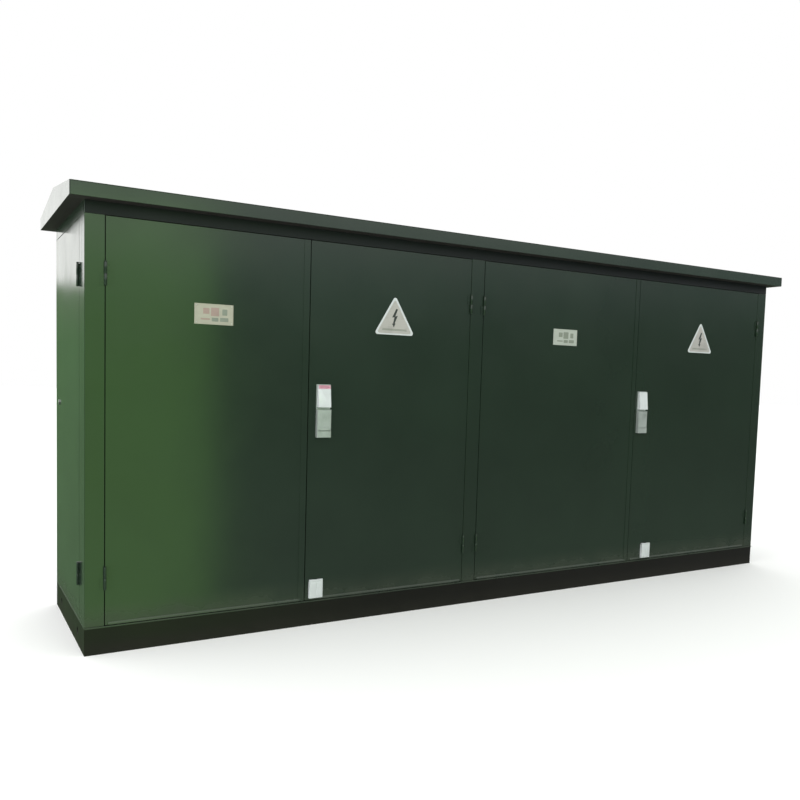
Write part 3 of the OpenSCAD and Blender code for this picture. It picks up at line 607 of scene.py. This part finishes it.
@dataclass
class WarningTriangle:
    """Pressed aluminium triangle with a raised rim, a bolt mark and a plain lower band."""

    node: str
    body: str
    side: float = 234.0
    radius: float = 14.0
    rim: float = 9.0

    def build(self, palette: Palette) -> None:
        """Adds the rim, the bolt mark and the band's fine lines to the plate."""
        dress(palette.sign, self.node, edge_mm=0.4)
        low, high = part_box(self.node)
        place = Facing.FRONT.at(((low[0] + high[0]) / 2, low[1], low[2]))
        outer = rounded_triangle(self.side - 1.5, self.radius, 0.8)
        inner = rounded_triangle(self.side - 2.6 * self.rim, self.radius * 0.7, self.rim)
        rim = Shape().frame(outer, inner, -0.1, 1.1, 0.5)
        rim.finish(f"{self.node}_rim", place, palette.white, self.body, "plate_aluminium")
        bolt = [(8, 158), (-19, 104), (-3, 107), (-12, 66), (-19, 69), (-6, 46), (6, 70), (-1, 69),
                (20, 117), (3, 112), (20, 155)]
        mark = Shape().slab(bolt[::-1], -0.1, 0.5)
        mark.finish(f"{self.node}_bolt", place, palette.print_dark, self.body, "black_plastic")
        band = Shape()
        for row, half in ((34.0, 84.0), (28.0, 87.0)):
            band.slab(rounded_box(2 * half, 3.2, 1.0, (0, row)), -0.1, 0.35)
        band.finish(f"{self.node}_lines", place, palette.print_grey, self.body, "plate_aluminium")


@dataclass
class NamePlate:
    """Printed plate with a raised border, plain colour fields and four rivets.

    Each field is a size and a middle in millimetres, seen from the front.
    """

    node: str
    body: str
    rosy: bool
    size: tuple[float, float] = (214.0, 110.0)
    left_fields: tuple[tuple[float, float, float, float], ...] = (
        (34, 31, -43, 16), (45, 45, 5, 13), (50, 8, -48, -27))
    right_fields: tuple[tuple[float, float, float, float], ...] = (
        (28, 33, 59, 13), (37, 20, 5, -28), (47, 21, 56, -27))

    def build(self, palette: Palette) -> None:
        """Adds the border, the fields and the rivets."""
        face = palette.plate if self.rosy else palette.plate_grey
        ink = palette.print_rose if self.rosy else palette.print_grey
        dress(face, self.node, edge_mm=0.3)
        place = Facing.FRONT.at(face_of(self.node, Facing.FRONT))
        width, height = self.size
        border = Shape().frame(rounded_box(width - 3, height - 3, 3),
                               rounded_box(width - 17, height - 17, 2), -0.1, 0.7, 0.3)
        border.finish(f"{self.node}_border", place, face, self.body, "plate_aluminium")
        for side, fields, tone in (("left", self.left_fields, ink),
                                   ("right", self.right_fields, palette.print_grey)):
            marks = Shape()
            for wide, tall, x, y in fields:
                marks.slab(rounded_box(wide, tall, 2, (x, y)), -0.1, 0.35, 0.15)
            marks.finish(f"{self.node}_{side}_fields", place, tone, self.body, "plate_aluminium")
        rivets = Shape()
        for x in (-1, 1):
            for y in (-1, 1):
                rivets.turned([(3, -0.1), (3, 0.9), (2, 1.6), (0, 1.9)],
                              (x * (width / 2 - 9), y * (height / 2 - 9)), 16)
        rivets.finish(f"{self.node}_rivets", place, palette.zinc, self.body, "zinc")


@dataclass
class RodLock:
    """Surface lock: base plate, hinged cover over the key, lift handle and two rods."""

    number: int
    film: bool
    cover_out: tuple[float, float] = (18.0, 31.0)
    cover_tall: float = 129.0

    def build(self, palette: Palette) -> None:
        """Dresses the lock's own nodes and adds its finer pieces."""
        stem = f"lock_{self.number}"
        dress(palette.die_cast, f"{stem}_body", edge_mm=1.2)
        dress(palette.white, f"{stem}_cover", edge_mm=1.4)
        dress(palette.die_cast, f"{stem}_handle", edge_mm=2.2)
        dress(palette.zinc, f"{stem}_top_rod", f"{stem}_foot_rod", edge_mm=0.8)
        low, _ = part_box(f"{stem}_handle")
        middle = face_of(f"{stem}_handle", Facing.FRONT).x
        grip = Shape()
        for i in range(5):
            grip.slab(rounded_box(52, 2.6, 1.2, (0, 14 + i * 7)), -0.2, 0.9, 0.5)
        grip.frame(rounded_box(62, 46, 5, (0, 78)), rounded_box(56, 40, 4, (0, 78)), -0.2, 0.7, 0.3)
        grip.finish(f"{stem}_grip", Facing.FRONT.at((middle, low[1], low[2])), palette.die_cast,
                    f"lock_handle_{self.number}", "lock_zinc")
        if self.film:
            self.add_film(palette, middle)

    def add_film(self, palette: Palette, middle: float) -> None:
        """Adds the strip of protective film left on the cover's upper edge.

        Args:
            palette: the finishes.
            middle: the lock's middle along the kiosk, in metres.
        """
        columns, rows = 16, 4
        width, tall, skin = 75.0, 21.0, 0.25
        near, far = self.cover_out
        slope = (far - near) / self.cover_tall
        strip = bmesh.new()
        grid = []
        for r in range(rows + 1):
            down = tall * r / rows
            line = []
            for c in range(columns + 1):
                lift = skin + 0.35 * (1 + math.sin(c * 2.1 + r * 1.3)) * (r / rows) ** 2
                out = near - 8.0 + slope * down + lift
                line.append(strip.verts.new(((c / columns - 0.5) * width, -down, out)))
            grid.append(line)
        for upper, lower in zip(grid, grid[1:]):
            for c in range(columns):
                strip.faces.new([upper[c], lower[c], lower[c + 1], upper[c + 1]])
        bmesh.ops.solidify(strip, geom=strip.faces[:], thickness=-0.2)
        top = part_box(f"lock_{self.number}_cover")[1][2] - 1.5 * MM
        leaf_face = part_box("wall_rails")[0][1]
        shape = Shape()
        shape.take(strip)
        shape.finish(f"lock_{self.number}_film", Facing.FRONT.at((middle, leaf_face - 8 * MM, top)),
                     palette.film, f"lock_cover_{self.number}", "lock_cover")


@dataclass
class FootBolt:
    """Surface bolt at the foot of a leaf, under a hinged cover pressed into two panels."""

    number: int
    panel: tuple[float, float] = (34.0, 84.0)
    groove: float = 6.0

    def build(self, palette: Palette) -> None:
        """Dresses the bolt and its cover and adds the pressed panels and the top bead."""
        cover = f"foot_cover_{self.number}"
        dress(palette.zinc, f"foot_bolt_{self.number}", edge_mm=0.6)
        dress(palette.white, cover, edge_mm=1.2)
        low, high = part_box(cover)
        place = Facing.FRONT.at((face_of(cover, Facing.FRONT).x, low[1], low[2]))
        pressed = Shape()
        wide, tall = self.panel
        for side in (-1, 1):
            x = side * (wide + self.groove) / 2
            pressed.slab(rounded_box(wide, tall, 5, (x, 51)), -0.2, 1.4, 1.3)
        top = (high[2] - low[2]) / MM - 6
        pressed.slab(rounded_box(78, 9, 4.4, (0, top)), -0.2, 1.2, 1.1)
        pressed.finish(f"{cover}_panels", place, palette.white, f"foot_flap_{self.number}",
                       "lock_cover")


@dataclass
class Enclosure:
    """Folded sheet-steel housing, its doors, roof, base and hinges."""

    hinge_screw: float = 3.2
    hinge_levels: tuple[float, float] = (0.398, 1.955)
    flag_middle: float = 16.5
    drip_gap: float = 24.0
    drip_profile: tuple[tuple[float, float], ...] = (
        (0.1, 1.0), (0.1, 15.0), (-1.2, 15.0), (-5.5, 4.0), (-5.5, 1.0))
    strap_width: float = 60.0
    ridge_rise: float = 0.072
    leaves: tuple[str, ...] = ("door_1_leaf", "door_2_leaf", "door_3_leaf", "door_4_leaf",
                               "end_door_leaf")

    def build(self, palette: Palette) -> None:
        """Dresses the shell and adds hinge screws, drip strips and roof straps."""
        dress(palette.green, *self.leaves, "right_end_panel", "rear_panels", edge_mm=1.6)
        dress(palette.green, "wall_posts", "sill_frame", "stop_lips", "roof_cover", edge_mm=1.5)
        # Painted shade: the dark enamel on the top rails stands in for the shadow under the eave.
        dress(palette.header, "wall_rails", edge_mm=1.5)
        dress(palette.green, "frame_hinges", edge_mm=0.5)
        dress(palette.black, "base_channels", edge_mm=2.5)
        dress(palette.grey, "floor_plates")
        dress(palette.galvanised, "partitions", "roof_frame")
        dress(palette.rubber, "door_seals", edge_mm=1.5)
        dress(palette.zinc, "end_door_latch", edge_mm=0.8)
        dress(palette.zinc, "panel_bolts", edge_mm=1.2)
        self.add_hinge_screws(palette)
        self.add_drip_strips(palette)
        self.add_roof_straps(palette)

    def add_hinge_screws(self, palette: Palette) -> None:
        """Adds two round-headed screws to the flag of every hinge half."""
        for joint in frame["joints"]:
            if not joint["name"].endswith("_swing"):
                continue
            x, y, _ = joint["pos_m"]
            end = joint["child"] == "end_door"
            opens = -1 if end else round(joint["axis"][2])
            facing = Facing.LEFT if end else Facing.FRONT
            for half, body in ((opens, "kiosk"), (-opens, joint["child"])):
                for middle in self.hinge_levels:
                    screws = Shape()
                    for step in (-14, 14):
                        rise = (29 if body != "kiosk" else -30) + step
                        screws.screw((half * self.flag_middle, rise), self.hinge_screw, 1.6, -0.2)
                    back = 0.005
                    where = (x + back, y, middle) if end else (x, y + back, middle)
                    level = "low" if middle < 1 else "high"
                    screws.finish(f"hinge_screws_{joint['child']}_{body}_{level}",
                                  facing.at(where), palette.green, body, "green_paint")

    def add_drip_strips(self, palette: Palette) -> None:
        """Adds the folded strip that throws rain off the foot of every front leaf."""
        for leaf in self.leaves[:-1]:
            low, high = (Vector(c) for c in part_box(leaf))
            middle = Vector(((low.x + high.x) / 2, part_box("wall_rails")[0][1], low.z))
            half = (high.x - low.x) * 500 - self.drip_gap
            strip = bmesh.new()
            ends = [[strip.verts.new((x, z, -y)) for y, z in self.drip_profile]
                    for x in (-half, half)]
            for i in range(len(self.drip_profile)):
                j = (i + 1) % len(self.drip_profile)
                strip.faces.new([ends[0][i], ends[0][j], ends[1][j], ends[1][i]])
            for loop in ends:
                strip.faces.new(loop)
            bmesh.ops.recalc_face_normals(strip, faces=strip.faces)
            shape = Shape()
            shape.take(strip)
            body = leaf.removesuffix("_leaf")
            shape.finish(f"{body}_drip_strip", Facing.FRONT.at(middle), palette.green, body,
                         "green_paint")

    def add_roof_straps(self, palette: Palette) -> None:
        """Adds the flat straps that cover the roof sheet's joints, short of the ridge."""
        low, high = (Vector(c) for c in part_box("roof_cover"))
        rise, half = self.ridge_rise, (high.y - low.y) / 2
        pitch = math.atan2(rise, half)
        for side in (-1, 1):
            straps = Shape()
            for i in range(1, 5):
                x = (low.x + (high.x - low.x) * i / 5) * 1000
                straps.slab(rounded_box(self.strap_width, (half - 0.07) * 1000, 4, (x, 0)),
                            -0.3, 1.6, 0.8)
                for step in range(6):
                    straps.screw((x, (step - 2.5) * 92), 5, 2.6, 1.4)
            middle = Vector((0, side * (half / 2 + 0.012), high.z - rise * (0.5 + 0.012 / half)))
            place = Facing.TOP.at(middle) @ Matrix.Rotation(-side * pitch, 4, "X")
            name = "front" if side < 0 else "rear"
            straps.finish(f"roof_straps_{name}", place, palette.green, "kiosk", "green_paint")


@dataclass
class Transformer:
    """Oil-filled distribution transformer in the right bay."""

    def build(self, palette: Palette) -> None:
        """Dresses the tank, its fittings and the windings."""
        dress(palette.grey, "tx_tank", "tx_lid", edge_mm=1.5)
        dress(palette.grey, "tx_fins", edge_mm=1.5)
        dress(palette.core, "tx_core")
        dress(palette.copper, "tx_windings")
        dress(palette.porcelain, "tx_hv_bushings", "tx_lv_bushings")
        dress(palette.black_plastic, "tx_tap_knob", edge_mm=2.0)
        dress(palette.zinc, "tx_fittings", edge_mm=1.0)


@dataclass
class Switchgear:
    """High-voltage switchgear cubicle in the left bay."""

    datum: float = 1.0
    column: float = 0.2
    gauge_at: tuple[float, float] = (0.0, 90.0)
    screw_levels: tuple[float, ...] = (0.66, 0.735, 1.26, 1.33)

    def build(self, palette: Palette) -> None:
        """Dresses the cubicle and adds the mimic diagram, the gauge and cover screws."""
        dress(palette.cream, "hv_covers", edge_mm=1.5)
        dress(palette.grey, "hv_cubicle", edge_mm=0.8)
        dress(palette.stainless, "hv_gas_tank", edge_mm=6.0)
        dress(palette.resin, "hv_fuses", edge_mm=2.5)
        dress(palette.black_plastic, "hv_knob", edge_mm=2.0)
        dress(palette.red_plastic, "hv_earth_knob", edge_mm=2.0)
        dress(palette.jacket, "hv_cables")
        low, high = (Vector(c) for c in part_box("hv_covers"))
        place = Facing.FRONT.at(((low.x + high.x) / 2, low.y, self.datum))
        half = (high.x - low.x) / 2 * 1000
        screws = Shape()
        for z in (low.z + 0.03, *self.screw_levels, high.z - 0.03):
            for x in (-half + 25, 0, half - 25):
                screws.screw((x, (z - self.datum) * 1000), 6, 3.2, -0.2)
        screws.finish("switchgear_cover_screws", place, palette.zinc, "kiosk", "zinc")
        mimic = Shape()
        for side in (-1, 1):
            column = side * self.column * 2 * half
            mimic.slab(rounded_box(6, 120, 2, (column, 130)), -0.1, 0.6)
            mimic.slab(rounded_box(6, 150, 2, (column, -165)), -0.1, 0.6)
            mimic.slab(rounded_box(28, 28, 13, (column, 205)), -0.1, 0.6)
        mimic.slab(rounded_box(2 * self.column * 2 * half + 6, 6, 2, (0, 240)), -0.1, 0.6)
        mimic.finish("switchgear_mimic_lines", place, palette.print_dark, "kiosk", "black_plastic")
        rim = [(40, -0.2), (40, 14), (36, 17), (34, 17), (34, 11), (0, 11)]
        gauge = Shape().turned(rim, self.gauge_at)
        gauge.finish("switchgear_gauge_case", place, palette.zinc, "kiosk", "zinc")
        dial = Shape().turned([(33.5, 11.2), (0, 11.2)], self.gauge_at)
        dial.finish("switchgear_gauge_dial", place, palette.light_plastic, "kiosk", "light_plastic")
        marks = Shape()
        for i in range(9):
            angle = math.radians(-45 + i * 33.75)
            spot = (26 * math.cos(angle), 90 + 26 * math.sin(angle))
            marks.turned([(1.6, 11.1), (1.6, 11.8), (0, 11.8)], spot, 10)
        marks.slab([(-2, 84), (2, 84), (1, 112), (-1, 112)], 11.2, 12.4)
        marks.finish("switchgear_gauge_marks", place, palette.print_dark, "kiosk", "black_plastic")


@dataclass
class LowVoltageBoard:
    """Low-voltage distribution board in the left bay, behind the second leaf."""

    meters: int = 4
    meter_row: float = 1628.0
    lamps: int = 6
    lamp_row: float = 1750.0

    def build(self, palette: Palette) -> None:
        """Dresses the board and adds meter dials and lamps."""
        dress(palette.galvanised, "lv_board", edge_mm=0.8)
        dress(palette.dark_plastic, "lv_breakers", edge_mm=3.0)
        dress(palette.black_plastic, "lv_knob", edge_mm=2.5)
        dress(palette.light_plastic, "lv_toggle_1", "lv_toggle_2", edge_mm=1.0)
        dress(palette.copper, "lv_busbars", edge_mm=0.8)
        low, high = (Vector(c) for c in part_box("lv_board"))
        place = Facing.FRONT.at((low.x, low.y, 0.0))
        bezels, dials, needles = Shape(), Shape(), Shape()
        for i in range(self.meters):
            x = 168 + i * 200
            bezels.frame(rounded_box(96, 96, 6, (x, self.meter_row)),
                         rounded_box(82, 82, 4, (x, self.meter_row)), -0.2, 5.0, 1.2)
            dials.slab(rounded_box(83, 83, 4, (x, self.meter_row)), -0.1, 0.6)
            needles.slab([(x - 30, 1604), (x - 28, 1602), (x + 12, 1650), (x + 11, 1651)], 0.5, 1.6)
            for tick in range(7):
                angle = math.radians(35 + tick * 18)
                spot = (x + 42 * math.cos(angle) - 4, 1606 + 42 * math.sin(angle))
                needles.turned([(1.3, 0.5), (1.3, 1.1), (0, 1.1)], spot, 8)
        bezels.finish("board_meter_bezels", place, palette.black_plastic, "kiosk", "black_plastic")
        dials.finish("board_meter_dials", place, palette.light_plastic, "kiosk", "light_plastic")
        needles.finish("board_meter_needles", place, palette.print_dark, "kiosk", "black_plastic")
        self.add_lamps(palette, low)

    def add_lamps(self, palette: Palette, low: Vector) -> None:
        """Adds a row of indicator lamps under the roof of the meter plate.

        Args:
            palette: the finishes.
            low: lowest corner of the board, in metres.
        """
        place = Facing.FRONT.at((low.x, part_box("lv_breakers")[1][1], 0.0))
        collars, caps = Shape(), Shape()
        for i in range(self.lamps):
            spot = (185 + i * 120, self.lamp_row)
            collars.turned([(15, -0.2), (15, 5), (12, 7), (0, 7)], spot)
            caps.turned([(10.5, 6.5), (10.5, 12), (8, 16), (0, 17.5)], spot)
        collars.finish("board_lamp_collars", place, palette.zinc, "kiosk", "zinc")
        caps.finish("board_lamp_caps", place, palette.red_plastic, "kiosk", "red_plastic")


@dataclass
class Studio:
    """Pale floor, soft surroundings and the camera.

    The camera's place and turn are in the kiosk's frame. The surroundings are bright above and
    dim near the horizon, so gloss paint shows dark doors under a pale sky edge, and one tall
    green-tinted card stands where the left door mirrors it.
    """

    eye: Vector = field(default_factory=lambda: Vector((-3.2992, -4.7728, 1.4741)))
    yaw: float = 29.9588
    pitch: float = -4.1257
    roll: float = 1.6298
    lens: float = 35.916
    shift: tuple[float, float] = (0.0076, 0.0442)
    dome: float = 1.8
    card_size: tuple[float, float] = (3.4, 8.6)
    card_edge: float = 0.62
    card_tint: tuple[float, float, float] = (0.42, 1.0, 0.17)
    card_radiance: float = 1.46
    side_power: float = 330.0
    front_dome: tuple[tuple[float, str], ...] = (
        (0.0, "#6b6f6b"), (0.35, "#3a3d3b"), (0.46, "#454b49"), (0.50, "#697076"),
        (0.56, "#868e93"), (0.59, "#d8dbdc"), (0.66, "#dfe0de"), (1.0, "#e0e1e1"))
    rear_dome: tuple[tuple[float, str], ...] = (
        (0.0, "#4b6045"), (0.42, "#4f6c47"), (0.488, "#5b7052"), (0.503, "#f4f5f2"),
        (1.0, "#e4e5e5"))

    def build(self) -> None:
        """Makes the floor, the surroundings, the lamps and the camera."""
        self.make_camera()
        self.make_floor()
        self.make_world()
        self.make_card()
        self.make_side_light()
        bpy.context.scene.view_settings.view_transform = "Standard"

    def make_camera(self) -> None:
        """Makes the camera at its place, turned by yaw, pitch and roll."""
        data = bpy.data.cameras.new("camera")
        data.lens = self.lens
        data.sensor_width = 36.0
        data.shift_x, data.shift_y = self.shift
        camera = bpy.data.objects.new("camera", data)
        yaw, pitch, roll = (math.radians(a) for a in (self.yaw, self.pitch, self.roll))
        ahead = Vector((math.sin(yaw) * math.cos(pitch), math.cos(yaw) * math.cos(pitch),
                        math.sin(pitch)))
        level = Vector((math.cos(yaw), -math.sin(yaw), 0.0))
        over = level.cross(ahead)
        right = math.cos(roll) * level + math.sin(roll) * over
        up = -math.sin(roll) * level + math.cos(roll) * over
        turn = Matrix((right, up, -ahead)).transposed().to_4x4()
        camera.matrix_world = Matrix.Translation(self.eye) @ turn
        bpy.context.scene.collection.objects.link(camera)
        bpy.context.scene.camera = camera

    def make_floor(self) -> None:
        """Makes the pale floor, which lights the kiosk but doesn't mirror in its paint."""
        data = bpy.data.meshes.new("floor")
        reach = 60.0
        corners = [(-reach, -reach, 0), (reach, -reach, 0), (reach, reach, 0), (-reach, reach, 0)]
        data.from_pydata(corners, [], [(0, 1, 2, 3)])
        floor = bpy.data.objects.new("floor", data)
        bpy.context.scene.collection.objects.link(floor)
        material, tree, shader = new_material("pale_matt_floor")
        shader.inputs["Base Color"].default_value = linear("#f2f2f1")
        shader.inputs["Roughness"].default_value = 0.9
        shader.inputs["Specular IOR Level"].default_value = 0.1
        data.materials.append(material)
        floor.visible_glossy = False

    def make_world(self) -> None:
        """Makes surroundings that are white behind the kiosk and a soft dome of light round it.

        The dome is dim at eye level in front of the doors and brightens upwards. Behind the
        kiosk a green hedge stands below a bright sky.
        """
        world = bpy.data.worlds.new("studio")
        bpy.context.scene.world = world
        world.use_nodes = True
        tree = world.node_tree
        tree.nodes.clear()
        ray = add_node(tree, "TexCoord").outputs["Generated"]
        parts = add_node(tree, "SeparateXYZ", Vector=ray)
        rise = add_node(tree, "MapRange", Value=parts.outputs["Z"], From_Min=-0.3, From_Max=0.5)
        front = ramp(tree, rise.outputs["Result"], self.front_dome)
        rear = ramp(tree, rise.outputs["Result"], self.rear_dome)
        side = add_node(tree, "MapRange", Value=parts.outputs["Y"], From_Min=-0.2, From_Max=0.3)
        both = add_node(tree, "MixRGB", Fac=side.outputs["Result"], Color1=front, Color2=rear)
        dome = add_node(tree, "Background", Color=both.outputs["Color"], Strength=self.dome)
        white = add_node(tree, "Background", Color=(1.0, 1.0, 1.0, 1.0), Strength=1.0)
        seen = add_node(tree, "LightPath").outputs["Is Camera Ray"]
        mix = add_node(tree, "MixShader", Fac=seen, i1=dome.outputs[0], i2=white.outputs[0])
        add_node(tree, "OutputWorld", Surface=mix.outputs[0])

    def make_card(self) -> None:
        """Makes the tall tinted card that the left door mirrors."""
        data = bpy.data.lights.new("card", "AREA")
        data.shape = "RECTANGLE"
        data.size, data.size_y = self.card_size
        data.color = self.card_tint
        data.energy = self.card_radiance * math.pi * data.size * data.size_y
        card = bpy.data.objects.new("card", data)
        middle = (self.card_edge - data.size / 2, -9.0, -0.2)
        card.matrix_world = Matrix.Translation(middle) @ Matrix.Rotation(math.radians(90), 4, "X")
        card.visible_camera = False
        bpy.context.scene.collection.objects.link(card)

    def make_side_light(self) -> None:
        """Makes the wide soft light on the left, which lights sides but shows no highlight."""
        data = bpy.data.lights.new("side_light", "AREA")
        data.size = 3.0
        data.energy = self.side_power
        lamp = bpy.data.objects.new("side_light", data)
        turn = Matrix.Rotation(math.radians(-90), 4, "Y")
        lamp.matrix_world = Matrix.Translation((-9.0, -1.6, 1.8)) @ turn
        lamp.visible_camera = False
        lamp.visible_glossy = False
        bpy.context.scene.collection.objects.link(lamp)


def main() -> None:
    """Builds and dresses every sub-assembly."""
    palette = Palette()
    Enclosure().build(palette)
    for number, film in ((2, True), (4, False)):
        RodLock(number, film).build(palette)
        FootBolt(number).build(palette)
        WarningTriangle(f"warning_sign_{number}", f"door_{number}").build(palette)
    for number, rosy in ((1, True), (3, False)):
        NamePlate(f"name_plate_{number}", f"door_{number}", rosy).build(palette)
    Transformer().build(palette)
    Switchgear().build(palette)
    LowVoltageBoard().build(palette)
    Studio().build()


if __name__ == "__main__":
    logging.basicConfig(level=logging.INFO)
    main()
